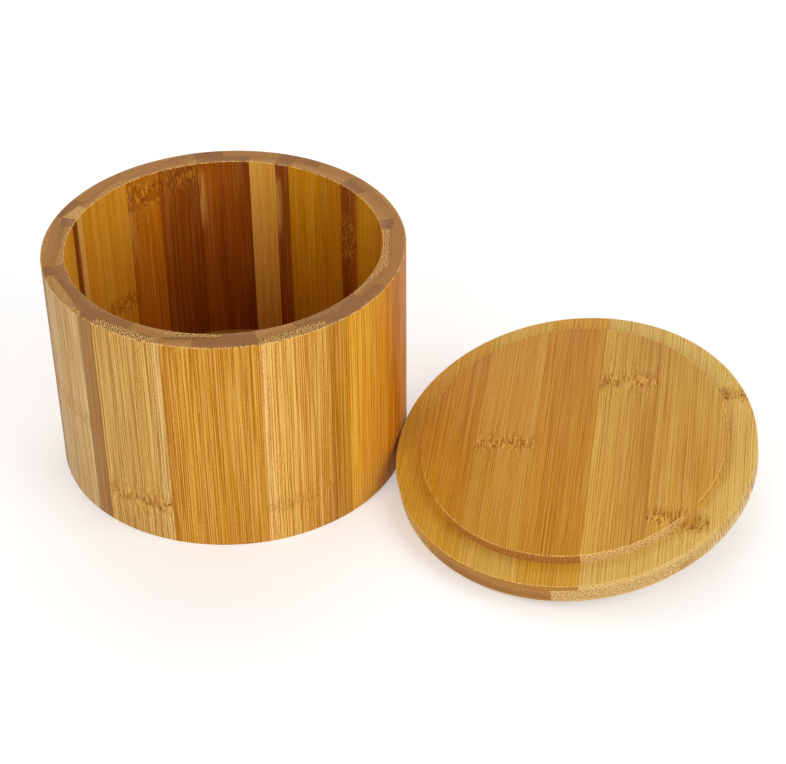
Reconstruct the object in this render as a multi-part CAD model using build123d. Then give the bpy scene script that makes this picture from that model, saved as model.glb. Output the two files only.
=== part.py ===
from build123d import *
from math import asin, atan2, cos, degrees, hypot, radians, sin
import os

# A round bamboo salt box: a ring of laminated staves, a strip floor let into its foot, and a loose
# plug lid with a turned knob. The lid lies upside down beside the box, propped on its knob.
# Millimetres and degrees. The origin is the centre of the box's underside, and +Z is up.

# ---- the ring of staves
box_radius = 62.0
box_height = 82.5
wall = 8.0
stave_count = 12
outer_share = 0.56  # of the wall, taken by the outer layer at the middle of a stave
edge_break = 0.4  # taken off the sharp edges of the rim, the foot and the lid's step

# Each layer of a stave is two strips. Where the glue line between them runs, for staves 1 to 12,
# as a share of half the stave's width: 0 is the middle, 1 the joint on the anticlockwise side.
outer_glue_lines = (-0.25, -0.40, -0.03, 0.34, -0.22, 0.25, -0.06, -0.62, -0.60, -0.34, 0.50, 0.28)
inner_glue_lines = (0.60, 0.36, 0.64, -0.32, 0.07, 0.46, -0.68, -0.07, 0.21, 0.29, -0.11, -0.33)

# ---- the floor, glued into a rebate in the foot of the staves
floor_thickness = 8.0
floor_lip = 2.0  # how far the rebate cuts outside the bore
glue_gap = 0.1  # round the floor

# ---- the strips that the flat boards are made of: the floor and the two layers of the lid
strip_width = 20.4  # a board has as many whole strips as come nearest to this
strip_thickness = 6.0  # of those in the lid

# How wide the strips at the left and the right edge of each board are, as shares of a whole one.
floor_edge_shares = (0.94, 0.54)
plug_edge_shares = (0.41, 0.70)
cover_edge_shares = (0.95, 0.16)

# ---- the lid: a plug layer, which is stepped to drop into the bore, and a cover layer
lid_overhang = 0.3  # past the box, all round
plug_height = 4.0
plug_clearance = 1.2  # between the plug and the bore
lid_bevel = 0.8  # along the edge of the lid's top face

# ---- the knob, turned in one piece with the tenon that holds it in the cover layer
dome_radius = 14.0
dome_angle = 40.0
shoulder_radius = 4.0
shoulder_return = 60.0  # how far the shoulder turns in below the knob's widest line
cove_radius = 2.0
neck_length = 1.9
tenon_radius = 5.0
tenon_length = 4.5
tenon_gap = 0.05

# ---- how the lid lies beside the box
lid_gap = 0.4  # to the box's wall
lid_bearing = -15.2  # from the box's axis to the lid's centre
lean_bearing = 223.7  # the way the lid's low edge points
grain_bearing = 80.8  # the way the grain of the lid runs, before the lid leans

# ---- sizes that follow
bore_radius = box_radius - wall
stave_angle = 360 / stave_count
glue_plane = box_radius - outer_share * wall
floor_radius = bore_radius + floor_lip - glue_gap
lid_radius = box_radius + lid_overhang
plug_radius = bore_radius - plug_clearance
flange_thickness = 2 * strip_thickness - plug_height
layer_plane = plug_height - strip_thickness
dome_depth = dome_radius * (1 - cos(radians(dome_angle)))
shoulder_depth = shoulder_radius * (cos(radians(dome_angle)) + sin(radians(shoulder_return)))
cove_depth = cove_radius * sin(radians(shoulder_return))
knob_height = dome_depth + shoulder_depth + cove_depth + neck_length


def turned(outline, angle=360.0):
    """Revolve an outline, drawn as (radius, height), about the Z axis."""
    return revolve(Plane.XZ * outline, axis=Axis.Z, revolution_arc=angle)


def side_of(shape, origin, normal):
    """The part of a shape on the side of a plane that its normal points to."""
    return split(shape, bisect_by=Plane(origin=origin, z_dir=normal), keep=Keep.TOP)


def corners_at(outline, *points):
    """The corners of an outline that lie at these points."""
    return [outline.vertices().sort_by_distance(point)[0] for point in points]


def disc(radius, thickness, base=0.0):
    """A plain disc, board or tenon that stands on a height."""
    return Pos(0, 0, base) * Cylinder(radius, thickness, align=(Align.CENTER, Align.CENTER, Align.MIN))


def wall_outline():
    """The wall in section: broken edges, and the rebate that the floor sits in."""
    from_inside = (Align.MIN, Align.MIN)
    section = Pos(bore_radius, 0) * Rectangle(wall, box_height, align=from_inside)
    section -= Pos(bore_radius, 0) * Rectangle(floor_lip, floor_thickness, align=from_inside)
    sharp = corners_at(section, (box_radius, 0), (box_radius, box_height), (bore_radius, box_height))
    return chamfer(sharp, edge_break)


def stave(number):
    """One stave, counted from 0 at +X: the pair of strips of its outer layer, then of its inner."""
    block = Rot(0, 0, -stave_angle / 2) * turned(wall_outline(), stave_angle)
    layers = []
    for glue_lines, face_radius, outwards in (
        (outer_glue_lines, box_radius, 1),
        (inner_glue_lines, bore_radius, -1),
    ):
        layer = side_of(block, (glue_plane, 0, 0), (outwards, 0, 0))
        half_width = face_radius * sin(radians(stave_angle / 2))
        glue_line = glue_lines[number % len(glue_lines)] * half_width
        pair = [side_of(layer, (0, glue_line, 0), (0, way, 0)) for way in (-1, 1)]
        in_place = [Rot(0, 0, stave_angle * number) * strip for strip in pair]
        layers.append(Compound(children=in_place))
    return layers


def strips_of(board, radius, edge_shares):
    """The strips of a round board, from left to right. They run along Y, with an edge one each side."""
    whole_count = round(2 * radius / strip_width - sum(edge_shares))
    width = 2 * radius / (whole_count + sum(edge_shares))
    first = edge_shares[0] * width - radius
    lines = [-2 * radius] + [first + width * k for k in range(whole_count + 1)] + [2 * radius]
    strips = []
    for low, high in zip(lines, lines[1:]):
        strips.append(side_of(side_of(board, (low, 0, 0), (1, 0, 0)), (high, 0, 0), (-1, 0, 0)))
    return strips


def lid_outline():
    """Half of the lid in section. Height 0 is the step that sits on the rim, and the plug is above."""
    corners = [(0, plug_height), (plug_radius, plug_height), (plug_radius, 0), (lid_radius, 0)]
    corners += [(lid_radius, -flange_thickness), (0, -flange_thickness)]
    section = make_face(Polyline(*corners, close=True))
    section = chamfer(corners_at(section, (lid_radius, -flange_thickness)), lid_bevel)
    return chamfer(corners_at(section, (plug_radius, plug_height), (lid_radius, 0)), edge_break)


def lid_strips():
    """The strips of the plug layer, then those of the cover layer with the hole for the tenon."""
    blank = turned(lid_outline())
    plug_layer = side_of(blank, (0, 0, layer_plane), (0, 0, 1))
    cover_layer = side_of(blank, (0, 0, layer_plane), (0, 0, -1))
    cover_layer -= disc(tenon_radius + tenon_gap, tenon_length + tenon_gap, -flange_thickness)
    return (
        strips_of(plug_layer, lid_radius, plug_edge_shares),
        strips_of(cover_layer, lid_radius, cover_edge_shares),
    )


def knob():
    """The knob hangs below the cover layer: a dome, a round shoulder, a coved neck and a tenon."""
    tip = -flange_thickness - knob_height
    dome = JernArc((0, tip), (1, 0), dome_radius, dome_angle)
    shoulder = JernArc(dome @ 1, dome % 1, shoulder_radius, 90 - dome_angle + shoulder_return)
    cove = JernArc(shoulder @ 1, shoulder % 1, cove_radius, -shoulder_return)
    neck_radius = (cove @ 1).X
    neck = Polyline(cove @ 1, (neck_radius, -flange_thickness), (0, -flange_thickness), (0, tip))
    body = turned(make_face(dome + shoulder + cove + neck))
    return body + disc(tenon_radius, tenon_length, -flange_thickness)


def lid_place():
    """Where the lid lies: on its knob and on the edge of its top face, clear of the box's wall."""
    resting_radius = lid_radius - lid_bevel
    dome_centre = knob_height - dome_radius
    lean = asin(dome_radius / hypot(resting_radius, dome_centre)) + atan2(dome_centre, resting_radius)
    turn = radians(lid_bearing + 180 - lean_bearing)
    reach = hypot(lid_radius * sin(turn), lid_radius * cos(lean) * cos(turn))
    distance = box_radius + lid_gap + reach
    height = resting_radius * sin(lean) + flange_thickness * cos(lean)
    bearing = radians(lid_bearing)
    centre = Pos(distance * cos(bearing), distance * sin(bearing), height)
    leaning = Rot(0, 0, lean_bearing) * Rot(0, degrees(lean), 0) * Rot(0, 0, -lean_bearing)
    return centre * leaning * Rot(0, 0, grain_bearing - 90)


def write(name, shape):
    """Write one node of the assembly."""
    export_step(shape, f"parts/{name}.step")


def write_board(name, strips):
    """Write the strips of a board: the one at each edge, and the whole ones numbered between them."""
    left, *whole, right = strips
    write(f"{name}_left_strip", left)
    for number, strip in enumerate(whole, 1):
        write(f"{name}_strip_{number}", strip)
    write(f"{name}_right_strip", right)


def main():
    os.makedirs("parts", exist_ok=True)
    for number in range(stave_count):
        outer, inner = stave(number)
        write(f"stave_{number + 1:02d}_outer", outer)
        write(f"stave_{number + 1:02d}_inner", inner)

    write_board("floor", strips_of(disc(floor_radius, floor_thickness), floor_radius, floor_edge_shares))

    place = lid_place()
    plug_strips, cover_strips = lid_strips()
    write_board("lid_plug", [place * strip for strip in plug_strips])
    write_board("lid_cover", [place * strip for strip in cover_strips])
    write("lid_knob", place * knob())


main()
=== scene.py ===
"""The looks of a round bamboo salt box: a ring of laminated staves, a strip floor and a loose plug lid.

Metres and radians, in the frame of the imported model: the origin is the middle of the box's underside
and +Z is up. Every strip of bamboo is a piece of its own. Strips are cut from a turned blank, as the
real ones are glued up and turned, and each is dressed in bamboo whose fibres run along it.
"""

import sys
import logging
from collections.abc import Callable, Iterator
from contextlib import contextmanager
from dataclasses import dataclass, field
from enum import Enum
from math import asin, atan2, cos, hypot, pi, radians, sin

import bmesh
import bpy
from mathutils import Matrix, Vector


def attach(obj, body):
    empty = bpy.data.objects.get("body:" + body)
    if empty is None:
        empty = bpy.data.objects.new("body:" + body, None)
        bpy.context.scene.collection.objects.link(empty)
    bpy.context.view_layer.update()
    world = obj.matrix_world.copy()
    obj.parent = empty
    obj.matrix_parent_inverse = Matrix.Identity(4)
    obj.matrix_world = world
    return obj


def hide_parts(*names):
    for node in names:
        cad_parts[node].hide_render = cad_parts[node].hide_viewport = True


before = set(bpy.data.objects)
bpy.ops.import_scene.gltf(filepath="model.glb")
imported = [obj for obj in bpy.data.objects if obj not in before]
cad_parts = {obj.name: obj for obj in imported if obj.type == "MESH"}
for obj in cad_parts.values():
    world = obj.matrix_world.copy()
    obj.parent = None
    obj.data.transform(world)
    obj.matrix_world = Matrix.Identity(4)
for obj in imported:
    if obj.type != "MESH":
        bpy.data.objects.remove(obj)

log = logging.getLogger("salt_box")

Point = tuple[float, float, float]
Colour = tuple[float, float, float]
Object = bpy.types.Object

MM = 0.001
SPECK = 0.02 * MM  # how near to a surface a point still counts as on it
SAWN_ANGLE = radians(40)  # faces that meet more sharply than this were left by a saw or a plane
TURNED_ANGLE = radians(32)  # faces that meet less sharply than this were turned as one
ARRIS = "arris"  # the mesh attribute that is 1 on a broken edge of the turned form
FAR_OFF = 1.0  # a place along a strip that is past its end
LINE_SHARES = (0.54, 0.33, 0.09)  # of the deep colour's red, green and blue, in the dark lines


# ---- modelling by hand: small helpers round Blender's own tools


def pick(obj: Object) -> None:
    """Make one object the only selected one, and the active one.

    Args:
        obj: the object.
    """
    bpy.ops.object.select_all(action="DESELECT")
    obj.select_set(True)
    bpy.context.view_layer.objects.active = obj


def primitive(add: Callable, **settings: object) -> Object:
    """Add one of Blender's mesh primitives, as the only selected object.

    Args:
        add: the operator that adds it.
        settings: its size and place.

    Returns:
        The new object.
    """
    bpy.ops.object.select_all(action="DESELECT")
    add(**settings)
    return bpy.context.object


@contextmanager
def editing(obj: Object) -> Iterator[None]:
    """Edit one object's mesh in a block, which starts with all of it selected.

    Args:
        obj: the object.
    """
    pick(obj)
    bpy.ops.object.mode_set(mode="EDIT")
    bpy.ops.mesh.select_mode(type="VERT")
    select_all()
    yield
    bpy.ops.object.mode_set(mode="OBJECT")


def select_all() -> None:
    """Select the whole mesh, in edit mode."""
    bpy.ops.mesh.select_all(action="SELECT")


def select_where(kind: str, test: Callable) -> int:
    """Select the vertices, edges or faces that pass a test, in edit mode, and nothing else.

    Args:
        kind: "VERT", "EDGE" or "FACE".
        test: takes one of them and says whether it is wanted.

    Returns:
        How many were selected.
    """
    bpy.ops.mesh.select_mode(type=kind)
    bpy.ops.mesh.select_all(action="DESELECT")
    mesh = bmesh.from_edit_mesh(bpy.context.object.data)
    parts = {"VERT": mesh.verts, "EDGE": mesh.edges, "FACE": mesh.faces}[kind]
    wanted = [part for part in parts if test(part)]
    for part in wanted:
        part.select_set(True)
    mesh.select_flush_mode()
    bmesh.update_edit_mesh(bpy.context.object.data)
    return len(wanted)


def cut(point: Point, normal: Point) -> None:
    """In edit mode, cut all of the mesh by a plane, close the cut and drop what lies behind it.

    Args:
        point: a point on the plane.
        normal: points to the side that stays.
    """
    select_all()
    bpy.ops.mesh.bisect(plane_co=point, plane_no=normal, use_fill=True, clear_inner=True)


def turn_outline(steps: int, angle: float) -> None:
    """In edit mode, swing an outline about the Z axis and point the faces that it leaves outwards.

    Args:
        steps: how many faces one side of the outline leaves.
        angle: how far it swings.
    """
    select_all()
    bpy.ops.mesh.spin(steps=steps, angle=angle, center=(0, 0, 0), axis=(0, 0, 1))
    select_all()
    bpy.ops.mesh.remove_doubles(threshold=1e-6)
    bpy.ops.mesh.normals_make_consistent(inside=False)


def copied(obj: Object, name: str) -> Object:
    """Copy an object, with a mesh of its own.

    Args:
        obj: the object.
        name: the name of the copy and its mesh.

    Returns:
        The copy.
    """
    pick(obj)
    bpy.ops.object.duplicate()
    twin = bpy.context.object
    twin.name = twin.data.name = name
    return twin


def placed(obj: Object, place: Matrix) -> None:
    """Move an object to its place, and put that place in its mesh."""
    obj.matrix_world = place
    settle(obj)


def settle(obj: Object) -> None:
    """Apply an object's place, turn and scale, so that they are in its mesh."""
    pick(obj)
    bpy.ops.object.transform_apply(location=True, rotation=True, scale=True)


def disc(radius: float, heights: tuple[float, float], sides: int) -> Object:
    """Turn a plain disc about the Z axis.

    Args:
        radius: its radius.
        heights: where its underside and its top are.
        sides: how many faces go round it.

    Returns:
        The disc.
    """
    low, high = heights
    size = {"vertices": sides, "radius": radius, "depth": high - low}
    plain = primitive(bpy.ops.mesh.primitive_cylinder_add, location=(0, 0, (low + high) / 2), **size)
    settle(plain)
    return plain


def discard(obj: Object) -> None:
    """Remove a blank that pieces were cut from, or a tool."""
    bpy.data.meshes.remove(obj.data)


def mark_arris(obj: Object, on_arris: Callable[[Vector], bool]) -> None:
    """Mark the points of a mesh that lie on a broken edge, for the finish to read.

    Args:
        obj: the piece.
        on_arris: takes a point of the mesh and says whether it lies on such an edge.
    """
    marks = obj.data.attributes.new(ARRIS, "FLOAT", "POINT")
    for mark, vertex in zip(marks.data, obj.data.vertices):
        mark.value = 1.0 if on_arris(vertex.co) else 0.0


def nowhere(point: Vector) -> bool:
    """The test for a piece that has no broken edge."""
    return False


def sawn(edge: bmesh.types.BMEdge) -> bool:
    """Whether an edge was left sharp by a saw or a plane."""
    return len(edge.link_faces) == 2 and edge.calc_face_angle(0.0) > SAWN_ANGLE


def ease_edges(obj: Object, width: float) -> None:
    """Take the sharpness off every sawn edge of a strip.

    Args:
        obj: the strip.
        width: how much is taken off.
    """
    with editing(obj):
        select_where("EDGE", sawn)
        bpy.ops.mesh.bevel(offset=width, segments=1, affect="EDGES", clamp_overlap=True)


def smooth(obj: Object) -> None:
    """Shade the turned faces smooth and leave the cut ones crisp."""
    pick(obj)
    bpy.ops.object.shade_smooth_by_angle(angle=TURNED_ANGLE)


# ---- finishes


def linear(red: int, green: int, blue: int) -> Colour:
    """A colour as on a paint card, 0 to 255, in Blender's linear values."""
    shares = (value / 255 for value in (red, green, blue))
    return tuple(share / 12.92 if share <= 0.04045 else ((share + 0.055) / 1.055) ** 2.4 for share in shares)


@dataclass(frozen=True)
class Wire:
    """What leaves a node of a sheet. A sum on wires adds the node that works it out.

    Attributes:
        sheet: the sheet.
        node: the node.
        output: which of its outputs, by name or place.
    """

    sheet: "Sheet"
    node: bpy.types.Node
    output: str | int = 0

    def __getitem__(self, output: str | int) -> "Wire":
        """Another output of the same node."""
        return Wire(self.sheet, self.node, output)

    def __add__(self, other: "Wire | float") -> "Wire":
        """This and another, added."""
        return self.sheet.math("ADD", self, other)

    def __sub__(self, other: "Wire | float") -> "Wire":
        """This less another."""
        return self.sheet.math("SUBTRACT", self, other)

    def __mul__(self, other: "Wire | float") -> "Wire":
        """This times another."""
        return self.sheet.math("MULTIPLY", self, other)

    def __truediv__(self, other: "Wire | float") -> "Wire":
        """This as a share of another."""
        return self.sheet.math("DIVIDE", self, other)

    def __neg__(self) -> "Wire":
        """This, below zero where it was above."""
        return self * -1.0

    def __abs__(self) -> "Wire":
        """This without its sign."""
        return self.sheet.math("ABSOLUTE", self)

    def clamped(self) -> "Wire":
        """The same sum, held between 0 and 1."""
        self.node.use_clamp = True
        return self


Value = Wire | float


@dataclass
class Sheet:
    """A node tree that is being wired.

    Attributes:
        tree: the tree.
    """

    tree: bpy.types.NodeTree

    @classmethod
    def blank(cls, owner: bpy.types.Material | bpy.types.World) -> "Sheet":
        """Empty the node tree of a material or a world.

        Args:
            owner: the material or world.

        Returns:
            The sheet to wire it on.
        """
        owner.use_nodes = True
        owner.node_tree.nodes.clear()
        return cls(owner.node_tree)

    def add(self, kind: str, inputs: dict | None = None, **settings: object) -> Wire:
        """Add a node.

        Args:
            kind: the node's type.
            inputs: wires or values for its inputs, by name or place.
            settings: the node's own options.

        Returns:
            Its first output.
        """
        node = self.tree.nodes.new(kind)
        for name, value in settings.items():
            setattr(node, name, value)
        for key, value in (inputs or {}).items():
            socket = node.inputs[key]
            if isinstance(value, Wire):
                self.tree.links.new(value.node.outputs[value.output], socket)
            else:
                socket.default_value = (*value, 1.0) if socket.type == "RGBA" else value
        return Wire(self, node)

    def math(self, operation: str, *values: Value) -> Wire:
        """The result of a sum on one to three numbers."""
        return self.add("ShaderNodeMath", dict(enumerate(values)), operation=operation)

    def vector(self, operation: str, *values: object) -> Wire:
        """The result of a sum on vectors."""
        return self.add("ShaderNodeVectorMath", dict(enumerate(values)), operation=operation)

    def step(self, value: Wire, low: float, high: float) -> Wire:
        """A smooth rise from 0 at one value to 1 at another. It falls if the first is the higher."""
        inputs = {"Value": value, "From Min": low, "From Max": high}
        return self.add("ShaderNodeMapRange", inputs, interpolation_type="SMOOTHSTEP")

    def mix(self, share: Value, first: Wire | Colour, second: Wire | Colour, blend: str = "MIX") -> Wire:
        """A mix of two colours, by a share of the second."""
        inputs = {0: share, 6: first, 7: second}
        return self.add("ShaderNodeMix", inputs, data_type="RGBA", blend_type=blend)[2]

    def noise(self, place: Wire, size: Point, detail: float = 2.0, rough: float = 0.5) -> Wire:
        """Soft noise.

        Args:
            place: where in it each point of the surface lies.
            size: the size of its grains each way, in millimetres.
            detail: how many finer layers it has.
            rough: how strong each finer layer is.

        Returns:
            The noise, about 0.5.
        """
        place = self.vector("DIVIDE", place, size)
        inputs = {"Vector": place, "Scale": 1.0, "Detail": detail, "Roughness": rough}
        return self.add("ShaderNodeTexNoise", inputs)["Fac"]

    def sway(self, place: Wire, size: Point, reach: float, detail: float = 2.0) -> Wire:
        """Soft noise about 0, up to a reach each way."""
        return self.math("MULTIPLY_ADD", self.noise(place, size, detail), 2 * reach, -reach)

    def cells(self, place: Wire, size: Point, jumble: float = 1.0, dimensions: str = "3D") -> Wire:
        """Scattered cells.

        Args:
            place: where among them each point of the surface lies.
            size: their size each way, in millimetres.
            jumble: how far from rows they are, from 0 to 1.
            dimensions: "2D" if they run on for ever along the last way, or "3D".

        Returns:
            How far it is to a cell's middle, in cells.
        """
        inputs = {"Vector": self.vector("DIVIDE", place, size), "Scale": 1.0, "Randomness": jumble}
        return self.add("ShaderNodeTexVoronoi", inputs, voronoi_dimensions=dimensions)["Distance"]


@dataclass
class Grain(Sheet):
    """The node group that draws bamboo from a place in its strip.

    The place is in millimetres from the strip's middle, on the axes of its bed. Fibre bundles are cells
    across the strip that run on along it, so they show as streaks on a face and as dots on an end. They
    crowd towards the side that lay under the bark.

    Attributes:
        bundle: how far apart the fibre bundles are.
        node_reach: how far the marks of a culm's node reach along the strip, each way.
        given: what each strip gives the group.
        in_strip: the place in the strip.
        depth: how deep under the bark side.
        spot: the place in the culm.
        off_node: how far along the strip from the culm's node, on a line that wanders across the strip.
        bent: the spot, moved across the strip where the fibres wander or are knocked about by the node.
        clouds: broad soft patches.
    """

    bundle: float = 0.80
    node_reach: float = 2.4
    given: Wire = field(init=False)
    in_strip: Wire = field(init=False)
    depth: Wire = field(init=False)
    spot: Wire = field(init=False)
    off_node: Wire = field(init=False)
    bent: Wire = field(init=False)
    clouds: Wire = field(init=False)

    def __post_init__(self) -> None:
        """Give the group its sockets, and work out what its parts share."""
        for kind, names in (
            ("Vector", ("Place", "Culm")),
            ("Color", ("Pale", "Deep", "Line", "End ground", "End dots")),
            ("Float", ("End", "Arris", "Streak", "Slope", "Half width", "Pale edge")),
            ("Float", ("Painted sheen from", "Painted sheen to", "Dotting", "Bark way", "Half thickness", "Dense depth")),
            ("Float", ("Node at", "Node spread", "Node strength")),
        ):
            for name in names:
                self.tree.interface.new_socket(name, in_out="INPUT", socket_type=f"NodeSocket{kind}")
        for name, kind in (("Colour", "Color"), ("Roughness", "Float"), ("Height", "Float")):
            self.tree.interface.new_socket(name, in_out="OUTPUT", socket_type=f"NodeSocket{kind}")
        self.given = self.add("NodeGroupInput")
        self.in_strip = self.add("ShaderNodeSeparateXYZ", {0: self.given["Place"]})
        self.depth = self.given["Half thickness"] - self.in_strip["Y"] * self.given["Bark way"]
        self.spot = self.vector("ADD", self.given["Place"], self.given["Culm"])
        off_node = self.in_strip["Z"] - self.given["Node at"] - self.sway(self.spot, (5, 50, 50), 2.0)
        self.off_node = off_node / self.given["Node spread"]
        self.bent = self._bent()
        self.clouds = self.noise(self.spot, (9, 9, 42))

    def wired(self) -> bpy.types.NodeTree:
        """Wire the group.

        Returns:
            The group.
        """
        given = self.given
        face, dark = self._streaked(self._ground())
        face, marks = self._with_node(self._with_painted_sheen(face))
        end, dots = self._end()
        colour = self.mix(given["End"], face, end)

        # a broken edge shows the pale tips of the fibres, torn between the bundles
        # on the lid's top bevel these pale tips are a painted highlight
        tips = self.step(self.noise(self.bent, (0.5, 0.5, 1.6), 0.0), 0.40, 0.56)
        tips *= self.step(given["Arris"], 0.0, 0.8)
        colour = self.mix(tips * 0.75, colour, (0.82, 0.50, 0.16))

        height = self.add("ShaderNodeMix", {0: given["End"], 2: -marks - dark, 3: dots * -0.8})
        rough = dark * 0.12 + 0.42 + given["End"] * 0.16 + marks * 0.3
        self.add("NodeGroupOutput", {"Colour": colour, "Roughness": rough, "Height": height})
        return self.tree

    def _aside(self, place: Wire, across: Wire) -> Wire:
        """A place moved across the strip."""
        return self.vector("ADD", place, self.add("ShaderNodeCombineXYZ", {0: across}))

    def _bent(self) -> Wire:
        """Bend the fibres.

        Returns:
            The spot, moved across the strip.
        """
        waver = self.noise(self.spot, (4, 4, 22)) * 0.16 + self.sway(self.spot, (14, 14, 90), 0.4)
        off = abs(self.off_node)
        knock = self.sway(self.spot, (1.2, 1.5, 2.6), 0.6) * self.step(off, 5.0, 0.5)
        ripple = self.sway(self.spot, (1.5, 2.5, 5.0), 1.1, 1.0) * self.step(off, 17.0, 2.0)
        return self._aside(self.spot, (ripple + knock) * self.given["Node strength"] + waver)

    def _ground(self) -> Wire:
        """Colour the ground of a face: ribbons of tone, paler away from the bark, and a pale edge.

        Returns:
            The colour.
        """
        given, across = self.given, self.in_strip["X"]
        ribbons = self.noise(self.bent, (2.2, 4.2, 220), 3.0, 0.65) - 0.5
        tone = ribbons * (given["Streak"] * -0.9 + 1.48) + 0.5
        tone += (self.clouds - 0.5) * 0.6
        tone += across / given["Half width"] * (given["Slope"] * 0.5)
        tone -= self.depth * 0.2
        ground = self.mix(tone.clamped(), given["Pale"], given["Deep"])
        # painted light: brighter and yellower deep under the bark side, which is the face of the lid's flange
        ground = self.mix(self.step(self.depth, 2.6, 3.8), ground, (1.06, 1.20, 1.75), "MULTIPLY")

        side = self.math("SIGN", given["Pale edge"])
        inwards = given["Half width"] - across * side + self.sway(self.bent, (3, 3, 60), 0.8)
        band = self.step(inwards - abs(given["Pale edge"]), 0.7, -0.7) * abs(side)
        return self.mix(band * 0.7, ground, self.mix(0.35, given["Pale"], (0.95, 0.72, 0.34)))

    def _streaked(self, ground: Wire) -> tuple[Wire, Wire]:
        """Draw dark and pale lines on a face: one for each bundle that it cuts, and hairs between them.

        Args:
            ground: the face's colour so far.

        Returns:
            The new colour, and how dark the lines are.
        """
        streak = self.given["Streak"]
        hair = self.noise(self.bent, (0.34, 2.6, 38), 0.5)
        thread = self.step(abs(self.noise(self.bent, (1.1, 3.4, 130)) - 0.5), 0.030, 0.006)
        fade = self.noise(self.spot, (0.3, 0.9, 12), 1.0) * 1.2 + 0.2
        grit = self.noise(self.spot, (0.28, 0.28, 0.8), 1.0) - 0.5
        row = self.add("ShaderNodeSeparateXYZ", {0: self.bent})["X"] / self.bundle
        inputs = {"W": row, "Scale": 1.0, "Randomness": 0.7}
        line = self.add("ShaderNodeTexVoronoi", inputs, voronoi_dimensions="1D")["Distance"]
        line = self.step(line, 0.30, 0.10) * self.noise(self.bent, (0.9, 9, 24), 1.0)
        dark = (self.step(hair, 0.52, 0.60) * 0.32 + thread * 0.6) * fade + line * 1.35 + grit * 1.3
        dark = (dark * streak).clamped()
        pale = (self.step(hair, 0.46, 0.38) * streak * 0.7).clamped()
        colour = self.mix(dark * 0.75, ground, self.given["Line"])
        return self.mix(pale * 0.5, colour, self.mix(0.25, self.given["Pale"], (1, 0.8, 0.4))), dark

    def _with_painted_sheen(self, face: Wire) -> Wire:
        """Paint a thin, broken pale highlight along the strip's right edge.

        Args:
            face: the face's colour so far.

        Returns:
            The new colour.
        """
        given, along = self.given, self.in_strip["Z"]
        painted_sheen = self.step(along - given["Painted sheen from"], -4.0, 8.0)
        painted_sheen *= self.step(given["Painted sheen to"] - along, -3.0, 3.0)
        painted_sheen *= self.step(self.in_strip["X"] + given["Half width"], 3.0, 1.0)
        painted_sheen *= self.step(self.noise(self.bent, (0.8, 1, 16)), 0.25, 0.58)
        # painted highlight: pale tan laid over the face, as a gloss near the joint would show
        return self.mix(painted_sheen * 0.66, face, (0.66, 0.34, 0.07))

    def _with_node(self, face: Wire) -> tuple[Wire, Wire]:
        """Mark the culm's node: a stain on one side, and small dark nicks and pale strokes across the strip.

        Args:
            face: the face's colour so far.

        Returns:
            The new colour, and where the nicks are.
        """
        reach, strength = self.node_reach, self.given["Node strength"]
        stain = self.step(self.off_node, 6.0, 1.5) * self.step(self.off_node, -4.5, -1.0)
        stain *= self.step(self.noise(self.bent, (0.8, 5, 9)), 0.34, 0.60)
        off_row = abs(self.off_node + self.sway(self.spot, (0.9, 3, 40), 2.2))
        nicks = self.step(self.cells(self.bent, (0.75, 2.0, 1.9)), 0.40, 0.24)
        nicks *= self.step(self.noise(self.spot, (1.6, 3, 1.4)), 0.34, 0.44)
        nicks *= self.step(off_row, reach, reach * 0.6)
        nicks = (nicks * strength).clamped()
        flames = self.noise(self.bent, (0.34, 1, 3.2), 0.6)
        near = (self.step(off_row, reach * 1.9, reach * 0.8) * strength).clamped()
        rust = self.mix(0.4, self.given["Line"], (0.44, 0.17, 0.006))
        face = self.mix((stain * strength).clamped() * 0.55, face, rust)
        face = self.mix(self.step(flames, 0.49, 0.40) * near * 0.5, face, rust)
        fleck = self.mix(0.25, self.given["Pale"], (0.95, 0.54, 0.10))
        face = self.mix(self.step(flames, 0.52, 0.60) * near * 0.66, face, fleck)
        char = self.mix(0.5, self.given["Line"], (0.22, 0.08, 0.002))
        return self.mix(nicks * 0.9, face, char), nicks

    def _end(self) -> tuple[Wire, Wire]:
        """Colour the end of a strip: pale fibre dots on a brown ground, crowded towards the bark side.

        Returns:
            The colour, and where the dots are.
        """
        given = self.given
        row = self.add("ShaderNodeSeparateXYZ", {0: self.bent})["Y"] * 0.5
        bundle = self.cells(self._aside(self.bent, row), (self.bundle, self.bundle * 0.95, 1), 0.45, "2D")
        deeper = self.depth + self.sway(self.bent, (4, 4, 80), 0.8) - given["Dense depth"]
        dense = self.math("MAXIMUM", self.step(deeper, 0.7, -0.7), 0.25) * given["Dotting"]
        dots = self.step(bundle, 0.42, 0.33) * dense
        ground = self.mix(self.clouds * 0.16, given["End ground"], given["Line"])
        ground = self.mix(self.step(self.depth, 4.5, 4.9), ground, (1.25, 1.6, 1.9), "MULTIPLY")
        return self.mix(dots, ground, given["End dots"]), dots


GRAIN = Grain(bpy.data.node_groups.new("Bamboo grain", "ShaderNodeTree")).wired()


class Tone(Enum):
    """The colours that bamboo strips come in, on a paint card: the pale, then the deep of their streaks."""

    STRAW = ((230, 190, 112), (204, 158, 78))
    OAT = ((226, 188, 114), (198, 152, 78))
    FLAX = ((218, 170, 72), (188, 132, 40))
    WHEAT = ((214, 160, 58), (190, 131, 34))
    CARAMEL = ((210, 149, 36), (184, 119, 20))
    HONEY = ((224, 180, 96), (194, 146, 62))
    GOLD = ((224, 163, 52), (192, 128, 24))
    APRICOT = ((240, 186, 88), (212, 150, 48))
    MARIGOLD = ((244, 181, 52), (212, 138, 24))
    AMBER = ((241, 175, 36), (207, 130, 13))
    RUSSET = ((222, 142, 12), (180, 98, 4))
    OLIVE = ((220, 156, 16), (182, 116, 6))
    TAN = ((218, 184, 122), (186, 144, 80))
    MAUVE = ((174, 123, 62), (132, 84, 36))
    UMBER = ((184, 98, 4), (126, 60, 1))


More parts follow.
